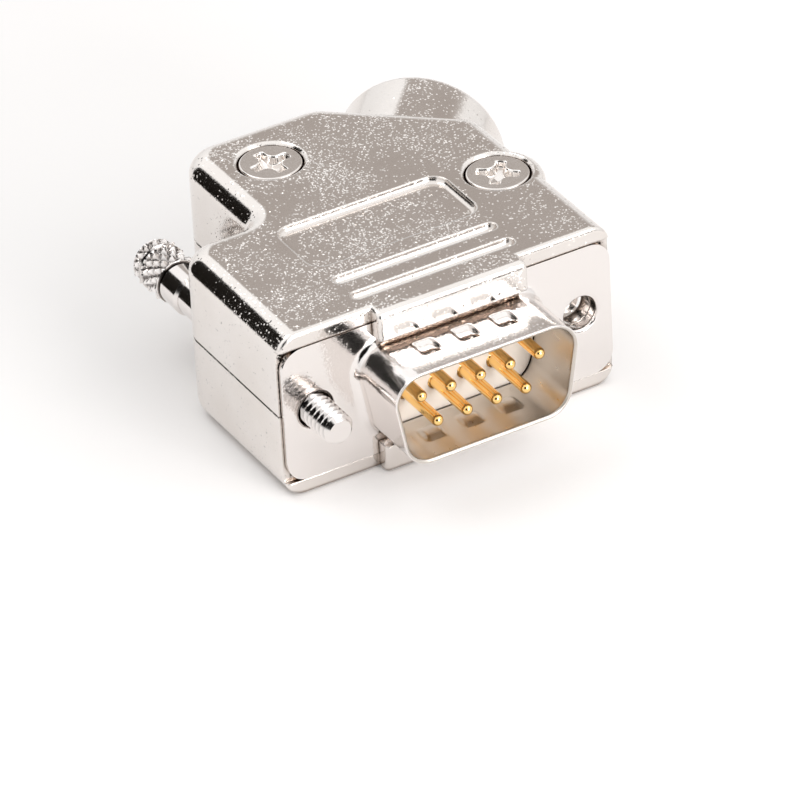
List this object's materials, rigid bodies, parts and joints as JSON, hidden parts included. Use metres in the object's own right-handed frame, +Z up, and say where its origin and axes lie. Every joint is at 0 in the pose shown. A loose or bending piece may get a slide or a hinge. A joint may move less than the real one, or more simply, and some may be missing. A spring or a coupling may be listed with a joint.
{
  "type": "d-sub connector plug in a hood",
  "caption": "D-shaped cable plug in a two-part metal hood, with an angled cable exit and captive jackscrews.",
  "frame": {"origin": "centre of the plug's flange, in its front face", "axes": "+X along the row of five contacts, +Y back into the hood, away from the mating connector, +Z up towards the half with the screw heads"},
  "size_m": [0.0358, 0.0407, 0.0154],
  "materials": {
    "hood": "nickel-plated die-cast zinc, finely grained",
    "shell": "nickel-plated pressed steel, smooth",
    "insulator": "white glass-filled thermoplastic",
    "contact": "gold-plated, turned",
    "screw": "nickel-plated steel",
    "jackscrew": "nickel-plated steel, knurled knob",
    "clip": "spring steel"
  },
  "bodies": {
    "hood": {"hood_upper": "hood", "hood_lower": "hood", "hood_screws": "screw", "plug_shell": "shell", "rear_shell": "shell", "insulator_front": "insulator", "insulator_rear": "insulator", "contact_1": "contact", "contact_2": "contact", "contact_3": "contact", "contact_4": "contact", "contact_5": "contact", "contact_6": "contact", "contact_7": "contact", "contact_8": "contact", "contact_9": "contact"},
    "left_carriage": {"retaining_clip_left": "clip"},
    "left_jackscrew": {"thumbscrew_left": "jackscrew"},
    "right_carriage": {"retaining_clip_right": "clip"},
    "right_jackscrew": {"thumbscrew_right": "jackscrew"}
  },
  "joints": [
    {"name": "left_slide", "type": "slide", "parent": "hood", "child": "left_carriage", "axis": [0, 1, 0], "range_m": [-0.0015, 0.005]},
    {"name": "left_turn", "type": "hinge", "parent": "left_carriage", "child": "left_jackscrew", "pos_m": [-0.01249, 0.01, 0], "axis": [0, 1, 0], "continuous": true},
    {"name": "right_slide", "type": "slide", "parent": "hood", "child": "right_carriage", "axis": [0, 1, 0], "range_m": [-0.0038, 0]},
    {"name": "right_turn", "type": "hinge", "parent": "right_carriage", "child": "right_jackscrew", "pos_m": [0.01249, 0.007, 0], "axis": [0, 1, 0], "continuous": true}
  ]
}
